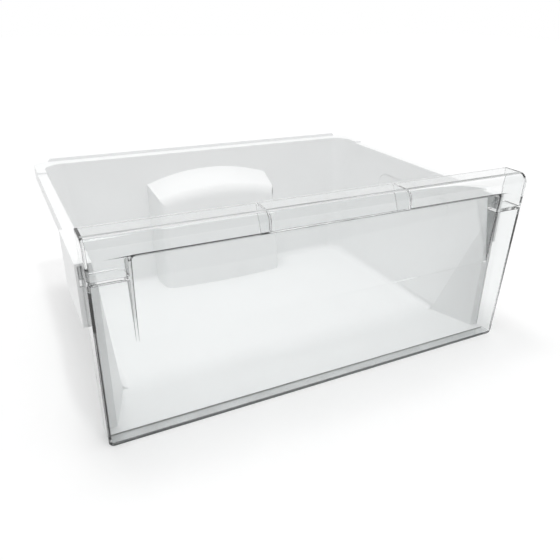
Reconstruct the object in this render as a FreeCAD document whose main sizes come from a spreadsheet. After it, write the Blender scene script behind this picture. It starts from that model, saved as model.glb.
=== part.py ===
import FreeCAD, Part
import math
import os
import Sketcher

# Fridge crisper drawer: a white moulded drawer body and a clear moulded front panel.
# Millimetres, X to the right, Y to the rear, Z up, drawn from the panel's front face at Y = 0.
# Both parts are moved back by half the overall depth at the end, so the origin is the
# middle of the footprint on the shelf.

os.makedirs("parts", exist_ok=True)
document = FreeCAD.newDocument("crisper_drawer")

SIZES = [
    ("overall_depth", 358.0, "panel front to the outer face of the rear rim"),
    ("panel_width", 451.0, "clear panel across its side flanges"),
    ("panel_height", 197.0, "clear panel, shelf to top of the hood"),
    ("panel_depth", 30.0, "side flanges and hood, front to rear edge"),
    ("panel_wall", 2.5, "wall of the clear moulding"),
    ("panel_lean", 7.0, "how far the panel's foot is set back from its top"),
    ("hood_radius", 10.0, "outer round between the front face and the hood"),
    ("edge_radius", 1.2, "small outer round on the clear panel's other edges"),
    ("foot_corner", 5.0, "round of the panel's two lower corners"),
    ("lip_drop", 18.3, "top of the hood to the lower edge of the finger lip"),
    ("lip_corner", 4.0, "round where the lip runs into the recess sides"),
    ("recess_width", 381.0, "finger recess between its side walls"),
    ("recess_wall", 2.5, "side walls of the finger recess"),
    ("recess_foot", 102.0, "height where the sloping back leaves the front face"),
    ("recess_depth", 17.0, "front of the panel to the top edge of the sloping back"),
    ("parting_fall", 7.0, "lip's lower edge down to the top edge of the sloping back"),
    ("bridge_width", 145.0, "bridge in the middle of the lip, between its ribs"),
    ("bridge_wall", 2.0, "ribs and floor of the bridge"),
    ("ledge_top", 162.0, "top of the corner ledges"),
    ("ledge_thickness", 3.5, "corner ledges"),
    ("ledge_reach", 22.8, "front face to the rear edge of the corner ledges"),
    ("ledge_radius", 8.0, "round of the ledges' inner rear corner"),
    ("foot_lip_reach", 21.0, "front of the panel to the rear edge of its bottom lip"),
    ("foot_lip_thickness", 3.0, "bottom lip of the clear panel"),
    ("joint_gap", 0.0, "clear panel's rear edges to the drawer body"),
    ("side_clearance", 0.5, "floor tongue to the clear side flanges"),
    ("rim_height", 167.5, "shelf to top of the rim"),
    ("rim_thickness", 2.5, "flat strip of the rim"),
    ("rim_inner_width", 432.0, "inside of the drawer at the rim"),
    ("rim_rear_strip", 17.0, "width of the rim strip along the rear"),
    ("rim_outer_width", 453.0, "rim across its outer lips"),
    ("rim_corner", 14.0, "outer round of the rim's rear corners"),
    ("lip_height", 15.0, "outer lip of the rim"),
    ("lip_thickness", 2.5, "outer lip of the rim"),
    ("floor_width", 393.0, "inside of the drawer at the floor"),
    ("rear_lean", 23.0, "how far the rear wall leans in from the rim to the floor"),
    ("floor_thickness", 3.0, "floor of the drawer body"),
    ("body_wall", 2.5, "walls of the drawer body"),
    ("wall_corner", 22.0, "inside round between the rear and side walls"),
    ("floor_radius", 9.0, "inside round between floor and walls"),
    ("mouth_width", 427.0, "front opening between its upright sides"),
    ("mouth_flange_width", 449.0, "front flange across its outer edges"),
    ("mouth_flange_thickness", 2.5, "front flange"),
    ("flare_length", 52.0, "front plane to where the flare meets the floor's width"),
    ("ear_width", 459.0, "side ears across their outer faces"),
    ("ear_length", 82.0, "front plane to the rear of the ears"),
    ("ear_foot", 110.0, "height of the ears' lower edges"),
    ("ear_corner", 14.0, "round of the ears' lower rear corners"),
    ("socket_width", 8.0, "open front end of the rim channel"),
    ("socket_foot", 147.0, "height of the socket's lower edge"),
    ("stop_height", 2.0, "raised stop at the rear corners of the rim"),
    ("stop_length", 52.0, "rear edge of the rim to the front step of the stops"),
    ("back_ridge_height", 6.0, "ridge along the rear edge of the rim"),
    ("back_ridge_thickness", 3.0, "ridge along the rear edge of the rim"),
    ("back_ridge_width", 424.0, "foot of the ridge, end to end"),
    ("back_ridge_slant", 6.0, "slant of the ridge's ends"),
    ("hump_width", 165.0, "compressor hump at the front of its foot"),
    ("hump_rear_width", 177.0, "compressor hump at its foot along the rear wall"),
    ("hump_top_width", 157.0, "compressor hump at the front of its shoulder"),
    ("hump_offset", 6.0, "middle of the hump to the left of the drawer's middle"),
    ("hump_shoulder", 120.0, "height at which the top width is taken"),
    ("hump_reach", 42.5, "inside of the rear wall at the floor to the middle of the hump's foot"),
    ("hump_front_bow", 5.0, "bow of the hump's front face in plan"),
    ("hump_front_draft", 12.0, "how far the front face falls back up to the shoulder"),
    ("hump_crest", 146.0, "height of the hump's crest at the rear wall"),
    ("hump_crown", 11.0, "how far the crest falls to either side"),
    ("hump_fall", 18.0, "slope of the hump's top towards the front, in degrees"),
    ("hump_radius", 11.0, "round of the hump's upright edges"),
    ("hump_top_radius", 17.0, "round of the hump's top edges"),
    ("hump_wall", 2.5, "wall of the hump"),
    ("dish_front", 96.0, "panel front to the front edge of the shallow side dish"),
    ("dish_rear", 234.0, "panel front to the rear edge of the shallow side dish"),
    ("dish_top", 142.0, "height of the dish's upper edge"),
    ("dish_foot", 70.0, "height of the dish's lower edge"),
    ("dish_depth", 0.5, "shallow dish in each side wall, at its upper edge"),
    ("dish_corner", 12.0, "round of the dish's corners"),
]

sheet = document.addObject("Spreadsheet::Sheet", "sizes")
for row, (alias, value, note) in enumerate(SIZES, start=1):
    sheet.set("A%d" % row, note)
    sheet.set("B%d" % row, str(value))
    sheet.setAlias("B%d" % row, alias)
document.recompute()


def size(alias):
    """Read one size from the sheet."""
    return float(getattr(sheet, alias))


def bind(feature, expressions):
    """Tie properties of a feature to sheet expressions."""
    for name, expression in expressions.items():
        feature.setExpression(name, expression)
    return feature


def box(name, x, y, z):
    """A block from three pairs of expressions, low and high along each axis."""
    block = document.addObject("Part::Box", name)
    bind(block, {
        "Length": "(%s) - (%s)" % (x[1], x[0]),
        "Width": "(%s) - (%s)" % (y[1], y[0]),
        "Height": "(%s) - (%s)" % (z[1], z[0]),
        "Placement.Base.x": x[0],
        "Placement.Base.y": y[0],
        "Placement.Base.z": z[0],
    })
    return block


def half_box(name, half, y, z):
    """A block centred on X from one half width expression."""
    return box(name, ("-(%s)" % half, half), y, z)


def upright_wedge(name, z, half_low, half_high, front, rear_low, rear_high):
    """A block with drafted sides and rear: half widths and rear edges at its foot and top."""
    wedge = document.addObject("Part::Wedge", name)
    bind(wedge, {
        "Ymin": z[0],
        "Ymax": z[1],
        "Xmin": "-(%s)" % half_low,
        "Xmax": half_low,
        "X2min": "-(%s)" % half_high,
        "X2max": half_high,
        "Zmin": "-(%s)" % rear_low,
        "Zmax": "-(%s)" % front,
        "Z2min": "-(%s)" % rear_high,
        "Z2max": "-(%s)" % front,
    })
    wedge.Placement = FreeCAD.Placement(
        FreeCAD.Vector(0, 0, 0), FreeCAD.Rotation(FreeCAD.Vector(1, 0, 0), 90))
    return wedge


def plan_wedge(name, y, half_front, half_rear, z):
    """A block whose width changes along Y, with upright sides."""
    wedge = document.addObject("Part::Wedge", name)
    bind(wedge, {
        "Ymin": y[0],
        "Ymax": y[1],
        "Xmin": "-(%s)" % half_front,
        "Xmax": half_front,
        "X2min": "-(%s)" % half_rear,
        "X2max": half_rear,
        "Zmin": z[0],
        "Zmax": z[1],
        "Z2min": z[0],
        "Z2max": z[1],
    })
    return wedge


def combine(kind, name, parts):
    """Cut, fuse or intersect a list of solids."""
    result = document.addObject(kind, name)
    if kind == "Part::Cut":
        result.Base = parts[0]
        result.Tool = parts[1]
    else:
        result.Shapes = parts
    return result


def rounded(name, base, alias, choose, level_alias=None):
    """Round the edges that a test picks, level ones by their own size where one is named."""
    document.recompute()
    picks = []
    for index, edge in enumerate(base.Shape.Edges, start=1):
        middle = edge.valueAt((edge.FirstParameter + edge.LastParameter) / 2)
        along = edge.tangentAt((edge.FirstParameter + edge.LastParameter) / 2)
        if choose(middle, along, edge):
            radius = size(level_alias if level_alias and abs(along.z) < 0.7 else alias)
            picks.append((index, radius, radius))
    fillet = document.addObject("Part::Fillet", name)
    fillet.Base = base
    fillet.Edges = picks
    return fillet


def near(value, target, within=0.05):
    """True when two lengths agree."""
    return abs(value - target) < within


# Drawer body: a drafted tub, flared at the front to upright sides.

FRONT = "sizes.panel_depth + sizes.joint_gap"
DRAFT = "(sizes.rim_inner_width - sizes.floor_width) / 2 / (sizes.rim_height - sizes.floor_thickness)"
RIM_REAR = "(sizes.overall_depth - sizes.rim_rear_strip)"
FLOOR_REAR = "(sizes.overall_depth - sizes.rim_rear_strip - sizes.rear_lean)"
REAR_DRAFT = "sizes.rear_lean / (sizes.rim_height - sizes.floor_thickness)"
rear_corner = size("overall_depth") - size("rim_rear_strip") - size("rear_lean")
ABOVE = "(sizes.rim_height + 12)"
SETBACK = "-(sizes.overall_depth + sizes.panel_lean * sizes.hood_radius / sizes.panel_height) / 2"

tub_outer = upright_wedge(
    "tub_outer", ("0", "sizes.rim_height"),
    "sizes.floor_width / 2 - sizes.floor_thickness * %s + sizes.body_wall" % DRAFT,
    "sizes.rim_inner_width / 2 + sizes.body_wall",
    FRONT,
    "%s - sizes.floor_thickness * %s + sizes.body_wall" % (FLOOR_REAR, REAR_DRAFT),
    "%s + sizes.body_wall" % RIM_REAR)
tub_inner = upright_wedge(
    "tub_inner", ("sizes.floor_thickness", ABOVE),
    "sizes.floor_width / 2",
    "sizes.rim_inner_width / 2 + 12 * %s" % DRAFT,
    FRONT,
    FLOOR_REAR,
    "%s + 12 * %s" % (RIM_REAR, REAR_DRAFT))
tub_outer_round = rounded(
    "tub_outer_round", tub_outer, "wall_corner",
    lambda middle, along, edge: abs(along.z) > 0.9 and middle.y > rear_corner)
tub_inner_round = rounded(
    "tub_inner_round", tub_inner, "wall_corner",
    lambda middle, along, edge: abs(along.z) > 0.9 and middle.y > rear_corner - 1)
tub_inner_soft = rounded(
    "tub_inner_soft", tub_inner_round, "floor_radius",
    lambda middle, along, edge: near(middle.z, size("floor_thickness"))
    and middle.y > size("panel_depth") + 1)

flare_outer = plan_wedge(
    "flare_outer", (FRONT, "%s + sizes.flare_length" % FRONT),
    "sizes.mouth_width / 2 + sizes.body_wall", "sizes.floor_width / 2 + sizes.body_wall",
    ("0", "sizes.rim_height"))
flare_inner = plan_wedge(
    "flare_inner", (FRONT, "%s + sizes.flare_length" % FRONT),
    "sizes.mouth_width / 2", "sizes.floor_width / 2",
    ("sizes.floor_thickness", ABOVE))
mouth_flange = half_box(
    "mouth_flange", "sizes.mouth_flange_width / 2",
    (FRONT, "%s + sizes.mouth_flange_thickness" % FRONT), ("0", "sizes.rim_height"))
floor_tongue = half_box(
    "floor_tongue", "sizes.panel_width / 2 - sizes.panel_wall - sizes.side_clearance",
    ("sizes.foot_lip_reach + sizes.joint_gap", "%s + 4" % FRONT), ("0", "sizes.floor_thickness"))

# Rim: a flat strip with a lip turned down along its outer edge.

rim_block = half_box(
    "rim_block", "sizes.rim_outer_width / 2", (FRONT, "sizes.overall_depth"),
    ("sizes.rim_height - sizes.lip_height", "sizes.rim_height"))
rim_block_round = rounded(
    "rim_block_round", rim_block, "rim_corner",
    lambda middle, along, edge: abs(along.z) > 0.9 and middle.y > rear_corner)
rim_channel = half_box(
    "rim_channel", "sizes.rim_outer_width / 2 - sizes.lip_thickness",
    ("%s - 4" % FRONT, "sizes.overall_depth - sizes.lip_thickness"),
    ("sizes.rim_height - sizes.lip_height - 1", "sizes.rim_height - sizes.rim_thickness"))
rim_channel_round = rounded(
    "rim_channel_round", rim_channel, "rim_corner",
    lambda middle, along, edge: abs(along.z) > 0.9 and middle.y > rear_corner)
rim = combine("Part::Cut", "rim", [rim_block_round, rim_channel_round])

corner_stops = half_box(
    "corner_stops", "sizes.rim_outer_width / 2",
    ("sizes.overall_depth - sizes.stop_length", "sizes.overall_depth"),
    ("sizes.rim_height - sizes.rim_thickness / 2", "sizes.rim_height + sizes.stop_height"))
corner_stops_round = rounded(
    "corner_stops_round", corner_stops, "rim_corner",
    lambda middle, along, edge: abs(along.z) > 0.9 and middle.y > size("overall_depth") - 20)
back_ridge = document.addObject("Part::Wedge", "back_ridge")
bind(back_ridge, {
    "Ymin": "sizes.rim_height - sizes.rim_thickness / 2",
    "Ymax": "sizes.rim_height + sizes.back_ridge_height",
    "Xmin": "-sizes.back_ridge_width / 2",
    "Xmax": "sizes.back_ridge_width / 2",
    "X2min": "-sizes.back_ridge_width / 2 + sizes.back_ridge_slant",
    "X2max": "sizes.back_ridge_width / 2 - sizes.back_ridge_slant",
    "Zmin": "-sizes.overall_depth",
    "Zmax": "-sizes.overall_depth + sizes.back_ridge_thickness",
    "Z2min": "-sizes.overall_depth",
    "Z2max": "-sizes.overall_depth + sizes.back_ridge_thickness",
})
back_ridge.Placement = FreeCAD.Placement(
    FreeCAD.Vector(0, 0, 0), FreeCAD.Rotation(FreeCAD.Vector(1, 0, 0), 90))

# Ears: hollow wings outside the walls, with the rim channel open at their front ends.

ear_block = half_box(
    "ear_block", "sizes.ear_width / 2", (FRONT, "%s + sizes.ear_length" % FRONT),
    ("sizes.ear_foot", "sizes.rim_height"))
ear_block_round = rounded(
    "ear_block_round", ear_block, "ear_corner",
    lambda middle, along, edge: abs(along.x) > 0.9 and near(middle.z, size("ear_foot"))
    and middle.y > size("panel_depth") + 5)
ear_hollow = half_box(
    "ear_hollow", "sizes.ear_width / 2 - sizes.body_wall",
    ("%s + sizes.mouth_flange_thickness" % FRONT, "%s + sizes.ear_length - sizes.body_wall" % FRONT),
    ("sizes.ear_foot - 1", "sizes.rim_height - sizes.rim_thickness"))
ears = combine("Part::Cut", "ears", [ear_block_round, ear_hollow])
socket_left = box(
    "socket_left",
    ("-(sizes.ear_width / 2 - sizes.body_wall)",
     "-(sizes.ear_width / 2 - sizes.body_wall - sizes.socket_width)"),
    ("%s - 1" % FRONT, "%s + sizes.mouth_flange_thickness + 1" % FRONT),
    ("sizes.socket_foot", "sizes.rim_height - sizes.rim_thickness"))
socket_right = box(
    "socket_right",
    ("sizes.ear_width / 2 - sizes.body_wall - sizes.socket_width",
     "sizes.ear_width / 2 - sizes.body_wall"),
    ("%s - 1" % FRONT, "%s + sizes.mouth_flange_thickness + 1" % FRONT),
    ("sizes.socket_foot", "sizes.rim_height - sizes.rim_thickness"))

shell_outer = combine("Part::MultiFuse", "shell_outer", [
    tub_outer_round, flare_outer, mouth_flange, floor_tongue, rim, corner_stops_round, back_ridge, ears])
shell_inner = combine("Part::MultiFuse", "shell_inner", [tub_inner_soft, flare_inner])
shell = combine("Part::Cut", "shell", [shell_outer, shell_inner])

# Compressor hump: a drafted block with a bowed front and a crowned, falling top.


def hump_side(name, side, inset):
    """A large block whose one face is a side of the hump, drafted and tapered in plan."""
    front = rear_corner - size("hump_reach")
    taper = math.atan((size("hump_rear_width") - size("hump_width")) / 2 / size("hump_reach"))
    draft = math.atan((size("hump_width") - size("hump_top_width")) / 2 / size("hump_shoulder"))
    turn = FreeCAD.Rotation(FreeCAD.Vector(0, 0, 1), -side * math.degrees(taper))
    turn = turn.multiply(FreeCAD.Rotation(FreeCAD.Vector(0, 1, 0), -side * math.degrees(draft)))
    block = document.addObject("Part::Box", name)
    bind(block, {"Length": "400", "Width": "400", "Height": "400"})
    reach = turn.multVec(FreeCAD.Vector(-400.0 if side > 0 else 0.0, -200, -100))
    edge = side * (size("hump_width") / 2 - inset) - size("hump_offset")
    block.Placement = FreeCAD.Placement(FreeCAD.Vector(edge, front, 0) + reach, turn)
    return block


def hump_block(name, inset, foot):
    """The hump's outside for inset 0, or its hollow for an inset of the wall."""
    left = hump_side(name + "_left", -1, 0.0 if inset == "0" else size("hump_wall"))
    right = hump_side(name + "_right", 1, 0.0 if inset == "0" else size("hump_wall"))
    bow = "((sizes.hump_width / 2) ^ 2 + sizes.hump_front_bow ^ 2) / (2 * sizes.hump_front_bow)"
    front = document.addObject("Part::Cone", name + "_front")
    bind(front, {
        "Radius1": "%s - %s - (%s) * sizes.hump_front_draft / sizes.hump_shoulder" % (bow, inset, foot),
        "Radius2": "%s - %s - sizes.hump_front_draft * 1.5" % (bow, inset),
        "Height": "sizes.hump_shoulder * 1.5 - (%s)" % foot,
        "Placement.Base.x": "-sizes.hump_offset",
        "Placement.Base.y": "%s - sizes.hump_reach + %s" % (FLOOR_REAR, bow),
        "Placement.Base.z": foot,
    })
    crown = "((sizes.hump_top_width / 2) ^ 2 + sizes.hump_crown ^ 2) / (2 * sizes.hump_crown)"
    top = document.addObject("Part::Cylinder", name + "_top")
    bind(top, {
        "Radius": "%s - %s" % (crown, inset),
        "Height": "sizes.overall_depth",
    })
    angle = math.radians(size("hump_fall"))
    radius = ((size("hump_top_width") / 2) ** 2 + size("hump_crown") ** 2) / (2 * size("hump_crown"))
    crest = FreeCAD.Vector(
        -size("hump_offset"), rear_corner + size("rear_lean") - 4, size("hump_crest"))
    down = FreeCAD.Vector(0, math.sin(angle), -math.cos(angle))
    back = FreeCAD.Vector(0, math.cos(angle), math.sin(angle))
    base = crest + down * radius - back * (size("overall_depth") / 2)
    top.Placement = FreeCAD.Placement(base, FreeCAD.Rotation(FreeCAD.Vector(0, 0, 1), back))
    return combine("Part::MultiCommon", name, [left, right, front, top])


hump_solid = hump_block("hump_solid", "0", "0")
hump_soft = rounded(
    "hump_soft", hump_solid, "hump_radius",
    lambda middle, along, edge: middle.z > 20 and middle.y < size("overall_depth") - 1,
    "hump_top_radius")
hump_inside = combine("Part::MultiCommon", "hump_inside", [hump_soft, tub_outer_round])
hump_hollow = hump_block("hump_hollow", "sizes.hump_wall", "-1")
hump_hollow_soft = rounded(
    "hump_hollow_soft", hump_hollow, "hump_radius",
    lambda middle, along, edge: middle.z > 20 and middle.y < size("overall_depth") - 1,
    "hump_top_radius")

# Shallow dishes in the two side walls, each a thin block laid against the drafted wall. The block leans
# a little more than the wall, so that the dish is deepest at its upper edge and fades out at its foot.


def side_dish(name, side):
    """A thin rounded block that sinks the dish into one side wall."""
    dish = document.addObject("Part::Box", name + "_block")
    bind(dish, {
        "Length": "20",
        "Width": "sizes.dish_rear - sizes.dish_front",
        "Height": "sizes.dish_top - sizes.dish_foot",
    })
    lean = math.atan((size("rim_inner_width") - size("floor_width")) / 2
                     / (size("rim_height") - size("floor_thickness")))
    run = (size("dish_foot") - size("floor_thickness")) * math.tan(lean)
    wall = size("floor_width") / 2 + run
    fade = math.atan(1.25 * size("dish_depth") / (size("dish_top") - size("dish_foot")))
    turn = FreeCAD.Rotation(FreeCAD.Vector(0, 1, 0), math.degrees(lean + fade) * side)
    inward = turn.multVec(FreeCAD.Vector(-0.25 * size("dish_depth"), 0, 0))
    reach = turn.multVec(FreeCAD.Vector(-20.0 if side > 0 else 0.0, 0, 0))
    corner = FreeCAD.Vector(side * wall, size("dish_front"), size("dish_foot"))
    dish.Placement = FreeCAD.Placement(corner + reach + inward * side, turn)
    return rounded(
        name, dish, "dish_corner",
        lambda middle, along, edge: abs(along.x) > 0.9)


dish_left = side_dish("dish_left", -1)
dish_right = side_dish("dish_right", 1)

body_full = combine("Part::MultiFuse", "body_full", [shell, hump_inside])
body_tools = combine("Part::MultiFuse", "body_tools", [
    hump_hollow_soft, socket_left, socket_right, dish_left, dish_right])
drawer_body = combine("Part::Cut", "drawer_body", [body_full, body_tools])
drawer_body.setExpression("Placement.Base.y", SETBACK)

# Front panel: one clear moulding with a hood, a finger lip and a sloping recess behind it.

front_panel = document.addObject("PartDesign::Body", "front_panel")


def origin_plane(body, role):
    """One of a body's own origin planes by its role."""
    for item in body.Origin.OriginFeatures:
        if item.Role == role:
            return item
    raise ValueError(role)


def outline(name, role, points, height=None):
    """A closed outline on an origin plane, each corner placed by two bound distances."""
    sketch = front_panel.newObject("Sketcher::SketchObject", name)
    sketch.AttachmentSupport = [(origin_plane(front_panel, role), "")]
    sketch.MapMode = "FlatFace"
    if height is not None:
        sketch.setExpression("AttachmentOffset.Base.z", height)
    count = len(points)
    corners = []
    for index in range(count):
        angle = 2 * math.pi * index / count
        corners.append(FreeCAD.Vector(100 * math.cos(angle), 100 * math.sin(angle), 0))
    for index in range(count):
        sketch.addGeometry(Part.LineSegment(corners[index], corners[(index + 1) % count]), False)
    for index in range(count):
        sketch.addConstraint(Sketcher.Constraint("Coincident", index, 2, (index + 1) % count, 1))
    for index, (across, up) in enumerate(points):
        for kind, expression, start in (
                ("DistanceX", across, corners[index].x), ("DistanceY", up, corners[index].y)):
            number = sketch.addConstraint(Sketcher.Constraint(kind, -1, 1, index, 1, start))
            sketch.setExpression("Constraints[%d]" % number, expression)
    return sketch


def feature(kind, name, sketch, length, symmetric=True):
    """A pad or pocket of an outline."""
    result = front_panel.newObject(kind, name)
    result.Profile = sketch
    result.setExpression("Length", length)
    if symmetric:
        result.SideType = "Symmetric"
    sketch.Visibility = False
    document.recompute()
    return result


def soften(name, alias, choose):
    """Round the edges of the panel so far that a test picks."""
    tip = front_panel.Tip
    picks = []
    for index, edge in enumerate(tip.Shape.Edges, start=1):
        middle = edge.valueAt((edge.FirstParameter + edge.LastParameter) / 2)
        along = edge.tangentAt((edge.FirstParameter + edge.LastParameter) / 2)
        if choose(middle, along, edge):
            picks.append("Edge%d" % index)
    fillet = front_panel.newObject("PartDesign::Fillet", name)
    fillet.Base = (tip, picks)
    fillet.setExpression("Radius", alias)
    document.recompute()
    return fillet


def face_at(height):
    """Expression for the front face's Y at a height expression."""
    return "(sizes.panel_lean * (1 - (%s) / sizes.panel_height))" % height


TOP = "sizes.panel_height"
CEILING = "(sizes.panel_height - sizes.panel_wall)"
LIP = "(sizes.panel_height - sizes.lip_drop)"
BEHIND = "(sizes.panel_depth + 1)"


LIP_REAR = "(%s + sizes.panel_wall)" % face_at(LIP)


def parting_at(depth, start=face_at(LIP)):
    """Expression for the height at a Y expression of a plane that falls back from the lip."""
    run = "(sizes.recess_depth - %s)" % start
    return "(%s - sizes.parting_fall * ((%s) - %s) / %s)" % (LIP, depth, start, run)


feature("PartDesign::Pad", "panel_block", outline("panel_block_outline", "YZ_Plane", [
    ("sizes.panel_lean", "0"), ("sizes.panel_depth", "0"), ("sizes.panel_depth", TOP), ("0", TOP),
]), "sizes.panel_width")
feature("PartDesign::Pocket", "panel_hollow", outline("panel_hollow_outline", "YZ_Plane", [
    (face_at("sizes.foot_lip_thickness") + " + sizes.panel_wall", "sizes.foot_lip_thickness"),
    (BEHIND, "sizes.foot_lip_thickness"), (BEHIND, CEILING),
    (face_at(CEILING) + " + sizes.panel_wall", CEILING),
]), "sizes.panel_width - 2 * sizes.panel_wall")
feature("PartDesign::Pocket", "foot_lip_trim", outline("foot_lip_trim_outline", "YZ_Plane", [
    ("sizes.foot_lip_reach", "-1"), (BEHIND, "-1"),
    (BEHIND, "sizes.foot_lip_thickness + 1"), ("sizes.foot_lip_reach", "sizes.foot_lip_thickness + 1"),
]), "sizes.panel_width - 2 * sizes.panel_wall")

IN_LIP = face_at(LIP) + " + sizes.panel_wall / 2"
BACK_REAR = "(sizes.recess_depth + sizes.panel_wall)"
feature("PartDesign::Pad", "recess_block", outline("recess_block_outline", "YZ_Plane", [
    (face_at("sizes.recess_foot") + " + sizes.panel_wall / 2", "sizes.recess_foot"),
    (face_at("sizes.recess_foot") + " + sizes.panel_wall", "sizes.recess_foot"),
    (BACK_REAR, parting_at(BACK_REAR, LIP_REAR)), (LIP_REAR, LIP), (IN_LIP, LIP),
]), "sizes.recess_width + 2 * sizes.recess_wall")
feature("PartDesign::Pocket", "recess", outline("recess_outline", "YZ_Plane", [
    (face_at("sizes.recess_foot"), "sizes.recess_foot"),
    ("sizes.recess_depth", parting_at("sizes.recess_depth")),
    (face_at(LIP), LIP), ("-5", LIP), ("-5", "sizes.recess_foot"),
]), "sizes.recess_width")

# The free parts of the lip, left and right of the bridge, end in a level lower edge.

lip_outline = outline("lip_outline", "YZ_Plane", [
    ("-1", LIP), (LIP_REAR, LIP), ("sizes.recess_depth", LIP + " - sizes.parting_fall"),
    ("-1", LIP + " - sizes.parting_fall"),
], "sizes.bridge_width / 2 + sizes.bridge_wall")
lip = front_panel.newObject("PartDesign::Pocket", "lip_right")
lip.Profile = lip_outline
lip.setExpression("Length", "sizes.recess_width / 2 - sizes.bridge_width / 2 - sizes.bridge_wall")
lip.Reversed = True
lip_outline.Visibility = False
document.recompute()
lip_pair = front_panel.newObject("PartDesign::Mirrored", "lip_pair")
lip_pair.Originals = [lip]
lip_pair.MirrorPlane = (origin_plane(front_panel, "YZ_Plane"), [""])
front_panel.Tip = lip_pair
document.recompute()
soften("inner_rounds", "sizes.hood_radius - sizes.panel_wall",
       lambda middle, along, edge: abs(along.x) > 0.9 and middle.y < 4
       and near(middle.z, size("panel_height") - size("panel_wall")))

soften("hood_round", "sizes.hood_radius",
       lambda middle, along, edge: abs(along.x) > 0.9 and near(middle.y, 0)
       and near(middle.z, size("panel_height")))
soften("foot_rounds", "sizes.foot_corner",
       lambda middle, along, edge: abs(along.y) > 0.9 and near(middle.z, 0)
       and abs(middle.x) > size("panel_width") / 2 - 0.01)
soften("outer_rounds", "sizes.edge_radius",
       lambda middle, along, edge: middle.y < size("panel_depth") - 0.1 and not near(middle.x, 0, 1.0)
       and abs(middle.x) > size("panel_width") / 2 - 0.01)

corner = []
for step in range(5):
    turn = math.radians(22.5 * step)
    corner.append((
        "-(sizes.recess_width / 2 + sizes.recess_wall + sizes.ledge_radius * %.4f)" % (1 - math.sin(turn)),
        "sizes.ledge_reach - sizes.ledge_radius * %.4f" % (1 - math.cos(turn))))
ledge_outline = outline("ledge_outline", "XY_Plane", [
    ("-(sizes.panel_width / 2 - sizes.panel_wall / 2)", "sizes.panel_wall + sizes.panel_lean / 8"),
    ("-(sizes.panel_width / 2 - sizes.panel_wall / 2)", "sizes.ledge_reach"),
] + corner + [
    ("-(sizes.recess_width / 2 + sizes.recess_wall / 2)", "sizes.ledge_reach - sizes.ledge_radius"),
    ("-(sizes.recess_width / 2 + sizes.recess_wall / 2)", "sizes.panel_wall + sizes.panel_lean / 8"),
], "sizes.ledge_top - sizes.ledge_thickness")
ledge = feature("PartDesign::Pad", "ledge_left", ledge_outline, "sizes.ledge_thickness", False)
ledge_pair = front_panel.newObject("PartDesign::Mirrored", "ledge_pair")
ledge_pair.Originals = [ledge]
ledge_pair.MirrorPlane = (origin_plane(front_panel, "YZ_Plane"), [""])
front_panel.Tip = ledge_pair
document.recompute()

# Bridge in the middle of the lip: a floor on the parting plane between two ribs under the hood.

feature("PartDesign::Pad", "bridge_floor", outline("bridge_floor_outline", "YZ_Plane", [
    (IN_LIP, parting_at(IN_LIP)), (BACK_REAR, parting_at(BACK_REAR)),
    (BACK_REAR, parting_at(BACK_REAR) + " + sizes.bridge_wall"),
    (IN_LIP, parting_at(IN_LIP) + " + sizes.bridge_wall"),
]), "sizes.bridge_width + 2 * sizes.bridge_wall")
crown = []
for step in range(5):
    turn = math.radians(22.5 * step)
    crown.append((
        "sizes.hood_radius - (sizes.hood_radius - sizes.panel_wall / 2) * %.4f" % math.cos(turn),
        "sizes.panel_height - sizes.hood_radius + (sizes.hood_radius - sizes.panel_wall / 2) * %.4f"
        % math.sin(turn)))
rib_outline = outline("rib_outline", "YZ_Plane", [(IN_LIP, parting_at(IN_LIP))] + crown + [
    ("sizes.panel_depth", CEILING + " + sizes.panel_wall / 2"), ("sizes.panel_depth", CEILING),
    (BACK_REAR, parting_at(BACK_REAR)),
], "sizes.bridge_width / 2")
rib = feature("PartDesign::Pad", "rib_right", rib_outline, "sizes.bridge_wall", False)
rib_pair = front_panel.newObject("PartDesign::Mirrored", "rib_pair")
rib_pair.Originals = [rib]
rib_pair.MirrorPlane = (origin_plane(front_panel, "YZ_Plane"), [""])
front_panel.Tip = rib_pair
document.recompute()
soften("lip_corners", "sizes.lip_corner",
       lambda middle, along, edge: abs(along.y) > 0.8 and near(abs(middle.x), size("recess_width") / 2)
       and near(middle.z, size("panel_height") - size("lip_drop"), 1.5)
       and edge.Length < 2 * size("panel_wall"))
front_panel.setExpression("Placement.Base.y", SETBACK)

document.recompute()
for item in document.Objects:
    if "Invalid" in item.State or "Error" in item.State:
        raise RuntimeError("%s is %s" % (item.Name, item.State))

for node in (drawer_body, front_panel):
    if node.Shape.isNull() or not node.Shape.isValid():
        raise RuntimeError("%s has no valid shape" % node.Name)
    bounds = node.Shape.BoundBox
    print("%s solids %d volume %.0f X %.2f %.2f Y %.2f %.2f Z %.2f %.2f" % (
        node.Name, len(node.Shape.Solids), node.Shape.Volume, bounds.XMin, bounds.XMax,
        bounds.YMin, bounds.YMax, bounds.ZMin, bounds.ZMax))
    node.Shape.exportStep("parts/%s.step" % node.Name)
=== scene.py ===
"""Fridge crisper drawer: a white moulded tub behind a clear hooded front."""

import logging
import math
from dataclasses import dataclass
from enum import Enum, IntEnum

import bmesh
import bpy
from mathutils import Matrix, Vector


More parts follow.
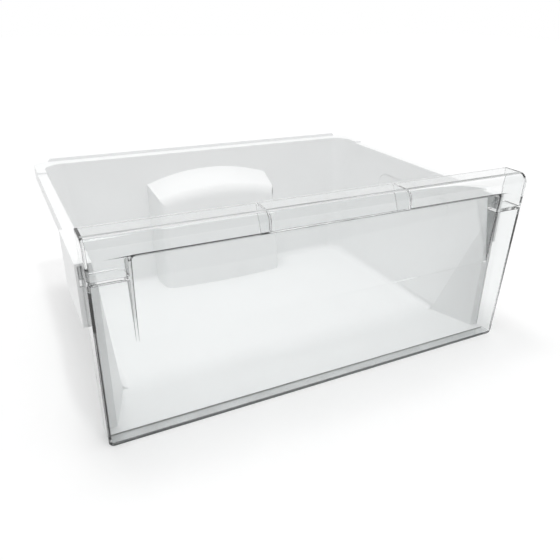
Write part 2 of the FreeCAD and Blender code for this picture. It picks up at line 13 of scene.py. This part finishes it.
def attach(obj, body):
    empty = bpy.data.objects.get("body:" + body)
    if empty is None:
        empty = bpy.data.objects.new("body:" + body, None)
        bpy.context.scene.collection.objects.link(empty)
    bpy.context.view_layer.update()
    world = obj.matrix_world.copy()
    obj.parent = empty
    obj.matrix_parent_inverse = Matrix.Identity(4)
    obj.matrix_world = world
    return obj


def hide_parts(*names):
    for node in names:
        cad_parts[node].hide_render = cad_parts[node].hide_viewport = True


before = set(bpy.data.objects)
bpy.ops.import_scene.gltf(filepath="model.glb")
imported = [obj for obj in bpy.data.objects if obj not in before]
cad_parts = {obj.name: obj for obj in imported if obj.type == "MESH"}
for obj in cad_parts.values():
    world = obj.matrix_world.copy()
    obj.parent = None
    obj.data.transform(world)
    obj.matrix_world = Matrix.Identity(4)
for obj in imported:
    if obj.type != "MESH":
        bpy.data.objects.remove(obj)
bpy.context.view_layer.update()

MM: float = 0.001
IMAGE_PX: int = 560

log = logging.getLogger("crisper_drawer")


class Slot(Enum):
    """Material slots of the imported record."""

    WHITE = "white_plastic"
    CLEAR = "clear_plastic"


class Piece(Enum):
    """Names of the pieces that stand for the solids."""

    TUB = "tub_moulding"
    FRONT = "front_moulding"


class Finish(IntEnum):
    """Places of the clear front's finishes in its list of materials."""

    POLISHED = 0
    EDGE = 1
    WEB = 2
    # Milky finish that paints a highlight line on the hood's rear end and shoulder.
    MATT = 3
    FOOT = 4


def linear(code: str) -> tuple[float, float, float, float]:
    """Turn an sRGB hex colour into linear values.

    Args:
        code: six hex digits, such as "F4F6F5".

    Returns:
        Linear red, green, blue and an alpha of 1.
    """
    parts = [int(code[i:i + 2], 16) / 255 for i in (0, 2, 4)]
    low = [c / 12.92 if c <= 0.04045 else ((c + 0.055) / 1.055) ** 2.4 for c in parts]
    return low[0], low[1], low[2], 1.0


def add_node(
    tree: bpy.types.NodeTree,
    kind: str,
    settings: dict[str, object] | None = None,
    values: dict[str | int, object] | None = None,
    links: dict[str | int, bpy.types.NodeSocket] | None = None,
) -> bpy.types.Node:
    """Add one node with its settings, socket values and incoming links.

    Args:
        tree: node tree that gets the node.
        kind: node type name.
        settings: properties of the node itself.
        values: values for input sockets, by name or index.
        links: sockets that feed the inputs, by name or index.

    Returns:
        The new node.
    """
    made = tree.nodes.new(kind)
    for name, value in (settings or {}).items():
        setattr(made, name, value)
    for name, value in (values or {}).items():
        made.inputs[name].default_value = value
    for name, source in (links or {}).items():
        tree.links.new(source, made.inputs[name])
    return made


def fresh_material(name: str) -> tuple[bpy.types.Material, bpy.types.NodeTree]:
    """Make an empty node material.

    Args:
        name: name of the real material.

    Returns:
        The material and its emptied node tree.
    """
    material = bpy.data.materials.new(name)
    material.use_nodes = True
    material.node_tree.nodes.clear()
    return material, material.node_tree


@dataclass(frozen=True)
class MouldedWhiteStyrene:
    """High-impact polystyrene from a lightly textured mould: white, satin, faintly cloudy."""

    # Faint clouds keep the large walls from looking flat, and the mould's grain softens the gloss.
    # The grain is drawn coarser than the real one, which is too fine to show.
    body_hex: str = "F8F9F9"
    shade_hex: str = "F4F5F5"
    ior: float = 1.57
    gloss: float = 0.34
    gloss_swing: float = 0.06
    cloud_mm: float = 70.0
    grain_mm: float = 1.6
    grain_depth_mm: float = 0.015
    grain_strength: float = 0.35

    def build(self) -> bpy.types.Material:
        """Build the material.

        Returns:
            Material for the tub.
        """
        material, tree = fresh_material("moulded_white_high_impact_polystyrene")
        place = add_node(tree, "ShaderNodeTexCoord").outputs["Object"]
        cloud = add_node(
            tree, "ShaderNodeTexNoise",
            values={"Scale": 1 / (self.cloud_mm * MM), "Detail": 2.0, "Roughness": 0.5},
            links={"Vector": place})
        colour = add_node(
            tree, "ShaderNodeMix", {"data_type": "RGBA"},
            {6: linear(self.body_hex), 7: linear(self.shade_hex)},
            {0: cloud.outputs["Fac"]})
        grain = add_node(
            tree, "ShaderNodeTexNoise",
            values={"Scale": 1 / (self.grain_mm * MM), "Detail": 2.0, "Roughness": 0.6},
            links={"Vector": place})
        gloss = add_node(
            tree, "ShaderNodeMapRange",
            values={"To Min": self.gloss - self.gloss_swing, "To Max": self.gloss + self.gloss_swing},
            links={"Value": grain.outputs["Fac"]})
        bump = add_node(
            tree, "ShaderNodeBump",
            values={"Strength": self.grain_strength, "Distance": self.grain_depth_mm * MM},
            links={"Height": grain.outputs["Fac"]})
        shader = add_node(
            tree, "ShaderNodeBsdfPrincipled",
            values={"IOR": self.ior},
            links={
                "Base Color": colour.outputs[2],
                "Roughness": gloss.outputs["Result"],
                "Normal": bump.outputs["Normal"],
            })
        add_node(tree, "ShaderNodeOutputMaterial", links={"Surface": shader.outputs["BSDF"]})
        return material


@dataclass(frozen=True)
class PolishedClearStyrene:
    """General-purpose polystyrene from a polished mould: water clear, grey where light runs far in it."""

    # A slow ripple from the mould's flow bends the view through it by a hair.
    # Lamp light passes straight through, dimmed, so that the tub behind keeps its light.
    tint_hex: str = "FAFBFB"
    depth_hex: str = "909394"
    ior: float = 1.59
    polish: float = 0.02
    polish_swing: float = 0.02
    absorb_per_m: float = 6.0
    shadow_hex: str = "E0E2E2"
    ripple_mm: float = 16.0
    ripple_depth_mm: float = 0.02
    ripple_strength: float = 0.2

    def build(self) -> bpy.types.Material:
        """Build the material.

        Returns:
            Material for the clear front.
        """
        material, tree = fresh_material("polished_clear_polystyrene")
        place = add_node(tree, "ShaderNodeTexCoord").outputs["Object"]
        ripple = add_node(
            tree, "ShaderNodeTexNoise",
            values={"Scale": 1 / (self.ripple_mm * MM), "Detail": 1.0, "Roughness": 0.4},
            links={"Vector": place})
        polish = add_node(
            tree, "ShaderNodeMapRange",
            values={
                "To Min": self.polish - self.polish_swing / 2,
                "To Max": self.polish + self.polish_swing / 2,
            },
            links={"Value": ripple.outputs["Fac"]})
        bump = add_node(
            tree, "ShaderNodeBump",
            values={"Strength": self.ripple_strength, "Distance": self.ripple_depth_mm * MM},
            links={"Height": ripple.outputs["Fac"]})
        glass = add_node(
            tree, "ShaderNodeBsdfPrincipled",
            values={
                "Base Color": linear(self.tint_hex),
                "IOR": self.ior,
                "Transmission Weight": 1.0,
            },
            links={"Roughness": polish.outputs["Result"], "Normal": bump.outputs["Normal"]})
        lamp_light = add_node(
            tree, "ShaderNodeBsdfTransparent", values={"Color": linear(self.shadow_hex)})
        rays = add_node(tree, "ShaderNodeLightPath")
        surface = add_node(
            tree, "ShaderNodeMixShader",
            links={
                0: rays.outputs["Is Shadow Ray"],
                1: glass.outputs["BSDF"],
                2: lamp_light.outputs["BSDF"],
            })
        inside = add_node(
            tree, "ShaderNodeVolumeAbsorption",
            values={"Color": linear(self.depth_hex), "Density": self.absorb_per_m})
        add_node(
            tree, "ShaderNodeOutputMaterial",
            links={"Surface": surface.outputs["Shader"], "Volume": inside.outputs["Volume"]})
        return material


@dataclass(frozen=True)
class ClearStyreneEdge:
    """Edge or web of the clear moulding, which is looked along, partly painted dark: painted shade for the
    light that runs on inside it and is lost.
    """

    # A near-black coat mixed over grey-tinted glass paints the thin dark lines by which the eye reads a
    # clear piece: painted shade, in a share that varies in patches.
    name: str = "clear_polystyrene_edge"
    painted_dark_hex: str = "1A1D1F"
    tint_hex: str = "C9CDCE"
    ior: float = 1.59
    polish: float = 0.08
    painted_dark_share: float = 0.87
    swing: float = 0.12
    patch_mm: float = 35.0
    shadow_hex: str = "9A9C9C"

    def build(self) -> bpy.types.Material:
        """Build the material.

        Returns:
            Material for the broken edges or the webs of the clear front.
        """
        material, tree = fresh_material(self.name)
        glass = add_node(
            tree, "ShaderNodeBsdfPrincipled",
            values={
                "Base Color": linear(self.tint_hex),
                "IOR": self.ior,
                "Roughness": self.polish,
                "Transmission Weight": 1.0,
            })
        # Near-black opaque coat: the painted shade of the dark edge lines.
        dark = add_node(
            tree, "ShaderNodeBsdfPrincipled",
            values={"Base Color": linear(self.painted_dark_hex), "IOR": self.ior, "Roughness": self.polish})
        place = add_node(tree, "ShaderNodeTexCoord").outputs["Object"]
        patch = add_node(
            tree, "ShaderNodeTexNoise",
            values={"Scale": 1 / (self.patch_mm * MM), "Detail": 1.0}, links={"Vector": place})
        share = add_node(
            tree, "ShaderNodeMapRange",
            values={"To Min": self.painted_dark_share - self.swing, "To Max": self.painted_dark_share + self.swing},
            links={"Value": patch.outputs["Fac"]})
        seen = add_node(
            tree, "ShaderNodeMixShader",
            links={0: share.outputs["Result"], 1: glass.outputs["BSDF"], 2: dark.outputs["BSDF"]})
        lamp_light = add_node(
            tree, "ShaderNodeBsdfTransparent", values={"Color": linear(self.shadow_hex)})
        rays = add_node(tree, "ShaderNodeLightPath")
        surface = add_node(
            tree, "ShaderNodeMixShader",
            links={
                0: rays.outputs["Is Shadow Ray"],
                1: seen.outputs["Shader"],
                2: lamp_light.outputs["BSDF"],
            })
        add_node(tree, "ShaderNodeOutputMaterial", links={"Surface": surface.outputs["Shader"]})
        return material


@dataclass(frozen=True)
class MattStyreneWithPaintedHighlight:
    """Matt stretch of the clear moulding on its trimmed end and along the hood's shoulder, milky white so
    that it paints a highlight line there.
    """

    # Part of the light scatters here, so that the stretch is milky and never a black mirror; the milky
    # white is a painted highlight.
    body_hex: str = "F2F4F4"
    ior: float = 1.59
    haze: float = 0.5
    scatter: float = 0.55
    swing: float = 0.25
    patch_mm: float = 60.0
    through: float = 0.5
    patch_range: tuple[float, float] = (0.3, 0.7)

    def build(self) -> bpy.types.Material:
        """Build the material.

        Returns:
            Material for the hood's rear end and shoulder, with their painted highlight.
        """
        material, tree = fresh_material("clear_polystyrene_matt_painted_highlight")
        glass = add_node(
            tree, "ShaderNodeBsdfPrincipled",
            values={
                "Base Color": linear(self.body_hex),
                "IOR": self.ior,
                "Roughness": self.haze,
                "Transmission Weight": 1.0,
            })
        milky = add_node(tree, "ShaderNodeBsdfTranslucent", values={"Color": linear(self.body_hex)})
        face = add_node(tree, "ShaderNodeBsdfDiffuse", values={"Color": linear(self.body_hex)})
        cloud = add_node(
            tree, "ShaderNodeMixShader",
            values={0: self.through}, links={1: milky.outputs["BSDF"], 2: face.outputs["BSDF"]})
        place = add_node(tree, "ShaderNodeTexCoord").outputs["Object"]
        patch = add_node(
            tree, "ShaderNodeTexNoise",
            values={"Scale": 1 / (self.patch_mm * MM), "Detail": 1.0}, links={"Vector": place})
        share = add_node(
            tree, "ShaderNodeMapRange",
            values={
                "From Min": self.patch_range[0], "From Max": self.patch_range[1],
                "To Min": self.scatter - self.swing, "To Max": self.scatter + self.swing,
            },
            links={"Value": patch.outputs["Fac"]})
        surface = add_node(
            tree, "ShaderNodeMixShader",
            links={0: share.outputs["Result"], 1: glass.outputs["BSDF"], 2: cloud.outputs["Shader"]})
        add_node(tree, "ShaderNodeOutputMaterial", links={"Surface": surface.outputs["Shader"]})
        return material


@dataclass
class Moulding:
    """A moulded piece made from a solid, with its sharp edges broken as a mould breaks them."""

    node: str
    piece: Piece
    slot: Slot
    edge_mm: float
    edge_steps: int
    sharp_deg: float = 28.0
    flat_deg: float = 0.4
    join_mm: float = 0.002
    flat_weight: int = 100

    def merged_mesh(self) -> bpy.types.Mesh:
        """Copy the solid's triangles, join them and clear the flat faces.

        Returns:
            A new mesh with one face for each flat stretch.
        """
        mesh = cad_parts[self.node].data.copy()
        mesh.name = self.piece.value
        mesh.materials.clear()
        work = bmesh.new()
        work.from_mesh(mesh)
        bmesh.ops.remove_doubles(work, verts=work.verts, dist=self.join_mm * MM)
        bmesh.ops.dissolve_limit(
            work, angle_limit=math.radians(self.flat_deg), verts=work.verts, edges=work.edges,
            delimit={"NORMAL"})
        weights = work.edges.layers.float.new("bevel_weight_edge")
        for edge in work.edges:
            if edge.calc_face_angle(0.0) > math.radians(self.sharp_deg):
                edge[weights] = self.roundness(edge)
        work.to_mesh(mesh)
        work.free()
        return mesh

    def roundness(self, edge: bmesh.types.BMEdge) -> float:
        """Say how much of the full round one sharp edge gets.

        Args:
            edge: an edge of the solid.

        Returns:
            A share from 0 to 1 of the piece's edge size.
        """
        return 1.0

    def creased(self, ends: list[Vector]) -> bool:
        """Say whether a shallow edge stays a crease.

        Args:
            ends: the edge's two ends.

        Returns:
            True for a crease.
        """
        return False

    def hold_in_box(self, mesh: bpy.types.Mesh) -> None:
        """Bring points that a broken corner throws out back to the solid's box.

        Args:
            mesh: the finished mesh.
        """
        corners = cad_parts[self.node].bound_box
        low, high = corners[0], corners[6]
        for vert in mesh.vertices:
            vert.co = [min(max(c, a), b) for c, a, b in zip(vert.co, low, high)]

    def finish_of(self, face: bpy.types.MeshPolygon) -> int:
        """Say which of the finishes one face of the solid gets.

        Args:
            face: a face of the joined mesh.

        Returns:
            The place of the finish in the list given to build.
        """
        return 0

    def build(self, finishes: list[bpy.types.Material], edge_finish: int = 0) -> bpy.types.Object:
        """Make the piece, break its edges, dress it and set it on the frame.

        Args:
            finishes: materials of the piece, the main one first.
            edge_finish: place of the broken edges' material in that list.

        Returns:
            The finished object.
        """
        rough = bpy.data.objects.new(self.piece.value + "_rough", self.merged_mesh())
        for each in finishes:
            rough.data.materials.append(each)
        for face in rough.data.polygons:
            face.material_index = self.finish_of(face)
        rough.data.shade_smooth()
        rough.data.set_sharp_from_angle(angle=math.radians(self.sharp_deg))
        for edge in rough.data.edges:
            if self.creased([rough.data.vertices[i].co for i in edge.vertices]):
                edge.use_edge_sharp = True
        bpy.context.scene.collection.objects.link(rough)
        broken = rough.modifiers.new("broken_edges", "BEVEL")
        broken.width = self.edge_mm * MM
        broken.segments = self.edge_steps
        broken.limit_method = "WEIGHT"
        broken.use_clamp_overlap = False
        broken.miter_outer = "MITER_SHARP"
        broken.mark_sharp = False
        # The broken edges take the edge finish, which paints them dark as painted shade.
        broken.material = edge_finish
        flat = rough.modifiers.new("flat_faces", "WEIGHTED_NORMAL")
        flat.weight = self.flat_weight
        flat.keep_sharp = True
        graph = bpy.context.evaluated_depsgraph_get()
        mesh = bpy.data.meshes.new_from_object(
            rough.evaluated_get(graph), preserve_all_data_layers=True, depsgraph=graph)
        mesh.name = self.piece.value
        self.hold_in_box(mesh)
        bpy.data.objects.remove(rough)
        made = bpy.data.objects.new(self.piece.value, mesh)
        bpy.context.scene.collection.objects.link(made)
        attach(made, "root")
        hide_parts(self.node)
        log.info("%s: %d faces", made.name, len(mesh.polygons))
        return made


@dataclass
class Tub(Moulding):
    """The white drawer body."""

    node: str = "drawer_body"
    piece: Piece = Piece.TUB
    slot: Slot = Slot.WHITE
    edge_mm: float = 0.5
    edge_steps: int = 2
    flare_mm: tuple[float, float, float] = (198.5, -97.2, 8.0)
    facet_mm: float = 6.0

    def roundness(self, edge: bmesh.types.BMEdge) -> float:
        """Leave the small facets where the front's flare meets the floor as they are.

        Args:
            edge: an edge of the solid.

        Returns:
            0 for the edges of those facets, 1 elsewhere.
        """
        across, along, top = self.flare_mm
        for vert in edge.verts:
            x, y, z = vert.co / MM
            if max(abs(abs(x) - across), abs(y - along)) < self.facet_mm and z < top:
                return 0.0
        return 1.0


@dataclass
class ClearFront(Moulding):
    """The clear hooded front panel."""

    node: str = "front_panel"
    piece: Piece = Piece.FRONT
    slot: Slot = Slot.CLEAR
    edge_mm: float = 0.9
    edge_steps: int = 2
    plain_mm: float = 0.2
    recess_mm: tuple[float, float, float] = (191.0, 103.0, 179.5)
    bridge_mm: float = 76.0
    back_top_mm: float = 171.0
    back_rear_mm: float = -166.0
    front_mm: float = -179.2
    lean_mm: float = 7.0
    height_mm: float = 197.0
    wall_mm: float = 2.9
    web_mm: float = 4.0
    hood_mm: float = 194.0
    shoulder: tuple[float, float] = (-0.26, -0.03)
    foot_mm: float = 2.0
    reach_mm: float = 2.5

    def roundness(self, edge: bmesh.types.BMEdge) -> float:
        """Give the finger opening in the front plate its full touch round.

        Args:
            edge: an edge of the solid.

        Returns:
            1 round the finger opening, 0 under the bridge, and the plain share on other edges.
        """
        half, low, high = self.recess_mm
        if all(abs(v.co.x) < self.bridge_mm * MM and v.co.z < high * MM for v in edge.verts):
            return 0.0
        if all(
                abs(v.co.z / MM - self.back_top_mm) < self.reach_mm and v.co.y > self.back_rear_mm * MM
                for v in edge.verts):
            return 0.0
        for vert in edge.verts:
            x, y, z = vert.co / MM
            face = self.front_mm + self.lean_mm * (1 - z / self.height_mm)
            if abs(x) > half or not low - self.foot_mm < z < high or y > face + self.wall_mm:
                return self.plain_mm / self.edge_mm
        return 1.0

    def creased(self, ends: list[Vector]) -> bool:
        """Keep the line where the sloping back leaves the plate, so that both stay flat to look through.

        Args:
            ends: the edge's two ends.

        Returns:
            True along that line.
        """
        return all(abs(end.z / MM - self.recess_mm[1]) < self.reach_mm for end in ends)

    def finish_of(self, face: bpy.types.MeshPolygon) -> int:
        """Tell the webs, the hood's rear end and its shoulder from the polished faces.

        Args:
            face: a face of the joined mesh.

        Returns:
            The finish of the recess's sides, the rear end and shoulder, the foot, or the rest.
        """
        x, y, z = face.center / MM
        half, low, high = self.recess_mm
        looks_down, looks_up = face.normal.z < -0.9, face.normal.z > 0.9
        looks_aside, looks_back = abs(face.normal.x) > 0.85, face.normal.y > 0.95
        # The foot's underside gets a darkened finish: painted shade for the grey band where the floor
        # under the front lies in shadow.
        if looks_down and z < self.foot_mm:
            return Finish.FOOT
        # The recess's sides get the web finish: painted shade for the dark lines seen along them.
        beside_recess = abs(abs(x) - half) < self.web_mm and low < z < high and y > self.front_mm
        if looks_aside and beside_recess:
            return Finish.WEB
        # The hood's rear end and its shoulder facets get the milky finish: a painted highlight line.
        on_shoulder = looks_up and self.shoulder[0] < face.normal.y < self.shoulder[1]
        if z > self.hood_mm and (looks_back or on_shoulder):
            return Finish.MATT
        return Finish.POLISHED


@dataclass
class Viewpoint:
    """Camera of the photograph, found from the drawer's own edges."""

    place_mm: tuple[float, float, float] = (-270.74, -576.50, 352.07)
    focal_px: float = 566.48
    pitch_deg: float = 26.02
    yaw_deg: float = 27.44
    roll_deg: float = -1.11
    film_mm: float = 36.0
    clip_m: tuple[float, float] = (0.01, 50.0)

    def build(self) -> bpy.types.Object:
        """Make the camera and give it to the scene.

        Returns:
            The camera.
        """
        pitch, yaw, roll = (math.radians(a) for a in (self.pitch_deg, self.yaw_deg, self.roll_deg))
        ahead = Vector((
            math.sin(yaw) * math.cos(pitch), math.cos(yaw) * math.cos(pitch), -math.sin(pitch)))
        level = Vector((math.cos(yaw), -math.sin(yaw), 0.0))
        down = ahead.cross(level)
        right = math.cos(roll) * level + math.sin(roll) * down
        down = -math.sin(roll) * level + math.cos(roll) * down
        data = bpy.data.cameras.new("viewpoint")
        data.sensor_width = self.film_mm
        data.lens = self.film_mm * self.focal_px / IMAGE_PX
        data.clip_start, data.clip_end = self.clip_m
        camera = bpy.data.objects.new("viewpoint", data)
        turn = Matrix((right, -down, -ahead)).transposed().to_4x4()
        camera.matrix_world = Matrix.Translation(Vector(self.place_mm) * MM) @ turn
        bpy.context.scene.collection.objects.link(camera)
        bpy.context.scene.camera = camera
        return camera


@dataclass
class Studio:
    """White sweep, overhead soft box, small front lamp and a soft white room."""

    floor_m: float = 12.0
    floor_drop_mm: float = 0.4
    near_glow: float = 0.11
    far_glow: float = 0.4
    glow_near_m: float = 0.45
    glow_far_m: float = 1.8
    floor_hex: str = "F4F4F4"
    low_fill: float = 0.5
    high_fill: float = 1.0
    left_fill: float = 0.82
    left_range: tuple[float, float] = (-1.0, 0.2)
    dim_until: float = -0.1
    sweep_from: float = 0.35
    dim_level: float = 0.7
    box_m: float = 0.4
    box_place: tuple[float, float, float] = (-0.15, 0.2, 1.7)
    box_watts: float = 4.4
    key_m: float = 0.1
    key_place: tuple[float, float, float] = (-0.1, -0.65, 1.7)
    key_watts: float = 3.6

    def build_floor(self) -> bpy.types.Object:
        """Lay a white floor that keeps the shadow.

        Returns:
            The floor.
        """
        half, level = self.floor_m / 2, -self.floor_drop_mm * MM
        mesh = bpy.data.meshes.new("floor")
        corners = ((-half, -half), (half, -half), (half, half), (-half, half))
        mesh.from_pydata([(x, y, level) for x, y in corners], [], [(0, 1, 2, 3)])
        material, tree = fresh_material("white_paper_sweep")
        paper = add_node(tree, "ShaderNodeBsdfDiffuse", values={"Color": linear(self.floor_hex)})
        rays = add_node(tree, "ShaderNodeLightPath")
        glossy = add_node(
            tree, "ShaderNodeMath", {"operation": "MAXIMUM"},
            links={0: rays.outputs["Is Glossy Ray"], 1: rays.outputs["Is Transmission Ray"]})
        seen = add_node(
            tree, "ShaderNodeMath", {"operation": "MAXIMUM"},
            links={0: rays.outputs["Is Camera Ray"], 1: glossy.outputs[0]})
        place = add_node(tree, "ShaderNodeTexCoord").outputs["Object"]
        away = add_node(tree, "ShaderNodeVectorMath", {"operation": "LENGTH"}, links={0: place})
        spread = add_node(
            tree, "ShaderNodeMapRange", {"interpolation_type": "SMOOTHSTEP"},
            {
                "From Min": self.glow_near_m, "From Max": self.glow_far_m,
                "To Min": self.near_glow, "To Max": self.far_glow,
            },
            {"Value": away.outputs["Value"]})
        strength = add_node(
            tree, "ShaderNodeMath", {"operation": "MULTIPLY"},
            links={0: seen.outputs[0], 1: spread.outputs["Result"]})
        glow = add_node(tree, "ShaderNodeEmission", links={"Strength": strength.outputs[0]})
        both = add_node(tree, "ShaderNodeAddShader", links={0: paper.outputs[0], 1: glow.outputs[0]})
        add_node(tree, "ShaderNodeOutputMaterial", links={"Surface": both.outputs[0]})
        mesh.materials.append(material)
        floor = bpy.data.objects.new("floor", mesh)
        bpy.context.scene.collection.objects.link(floor)
        return floor

    def build_room(self) -> bpy.types.World:
        """Make the white room: white to the camera, graded for what the plastic shows and for the fill.

        Returns:
            The world.
        """
        world = bpy.data.worlds.new("white_room")
        bpy.context.scene.world = world
        world.use_nodes = True
        tree = world.node_tree
        tree.nodes.clear()
        rays = add_node(tree, "ShaderNodeLightPath")
        glossy = add_node(
            tree, "ShaderNodeMath", {"operation": "MAXIMUM"},
            links={0: rays.outputs["Is Glossy Ray"], 1: rays.outputs["Is Transmission Ray"]})
        way = add_node(tree, "ShaderNodeTexCoord").outputs["Generated"]
        split = add_node(tree, "ShaderNodeSeparateXYZ", links={0: way})
        shown = add_node(
            tree, "ShaderNodeMapRange",
            values={
                "From Min": self.dim_until, "From Max": self.sweep_from,
                "To Min": self.dim_level, "To Max": 1.0,
            },
            links={"Value": split.outputs["Y"]})
        fill = add_node(
            tree, "ShaderNodeMapRange",
            values={"To Min": self.low_fill, "To Max": self.high_fill},
            links={"Value": split.outputs["Z"]})
        side = add_node(
            tree, "ShaderNodeMapRange",
            values={
                "From Min": self.left_range[0], "From Max": self.left_range[1],
                "To Min": self.left_fill, "To Max": 1.0,
            },
            links={"Value": split.outputs["X"]})
        soft = add_node(
            tree, "ShaderNodeMath", {"operation": "MULTIPLY"},
            links={0: fill.outputs["Result"], 1: side.outputs["Result"]})
        bounced = add_node(
            tree, "ShaderNodeMix", {"data_type": "FLOAT"},
            links={0: glossy.outputs[0], 2: soft.outputs[0], 3: shown.outputs["Result"]})
        level = add_node(
            tree, "ShaderNodeMix", {"data_type": "FLOAT"}, {3: 1.0},
            {0: rays.outputs["Is Camera Ray"], 2: bounced.outputs[0]})
        air = add_node(
            tree, "ShaderNodeBackground", values={"Color": (1.0, 1.0, 1.0, 1.0)},
            links={"Strength": level.outputs[0]})
        add_node(tree, "ShaderNodeOutputWorld", links={"Surface": air.outputs[0]})
        return world

    def build_lamp(
        self, name: str, size_m: float, place: tuple[float, float, float], watts: float,
    ) -> bpy.types.Object:
        """Hang one square lamp that points at the drawer.

        Args:
            name: name of the lamp.
            size_m: side of its square.
            place: where it hangs.
            watts: its power.

        Returns:
            The lamp.
        """
        data = bpy.data.lights.new(name, "AREA")
        data.shape = "SQUARE"
        data.size = size_m
        data.energy = watts
        lamp = bpy.data.objects.new(name, data)
        lamp.location = place
        aim = Vector((0.0, 0.0, 0.0)) - Vector(place)
        lamp.rotation_euler = aim.to_track_quat("-Z", "Y").to_euler()
        lamp.visible_glossy = False
        bpy.context.scene.collection.objects.link(lamp)
        return lamp


def main() -> None:
    """Build the drawer, the room and the camera in order."""
    logging.basicConfig(level=logging.INFO)
    scene = bpy.context.scene
    scene.view_settings.view_transform = "Standard"
    scene.cycles.max_bounces = 24
    scene.cycles.glossy_bounces = 16
    scene.cycles.transmission_bounces = 24
    Viewpoint().build()
    studio = Studio()
    studio.build_floor()
    studio.build_room()
    studio.build_lamp("soft_box", studio.box_m, studio.box_place, studio.box_watts)
    studio.build_lamp("key_lamp", studio.key_m, studio.key_place, studio.key_watts)
    Tub().build([MouldedWhiteStyrene().build()])
    clear = {
        Finish.POLISHED: PolishedClearStyrene(),
        # Painted shade: dark lines along the clear front's broken edges.
        Finish.EDGE: ClearStyreneEdge(),
        # Painted shade on the recess's sides.
        Finish.WEB: ClearStyreneEdge(name="clear_polystyrene_web", tint_hex="E8EAEA", painted_dark_share=0.2),
        # Painted highlight on the hood's rear end and shoulder.
        Finish.MATT: MattStyreneWithPaintedHighlight(),
        # Painted shade on the underside of the foot.
        Finish.FOOT: ClearStyreneEdge(name="clear_polystyrene_foot", tint_hex="E8EAEA", painted_dark_share=0.16),
    }
    ClearFront().build([clear[place].build() for place in Finish], edge_finish=Finish.EDGE)


if __name__ == "__main__":
    main()
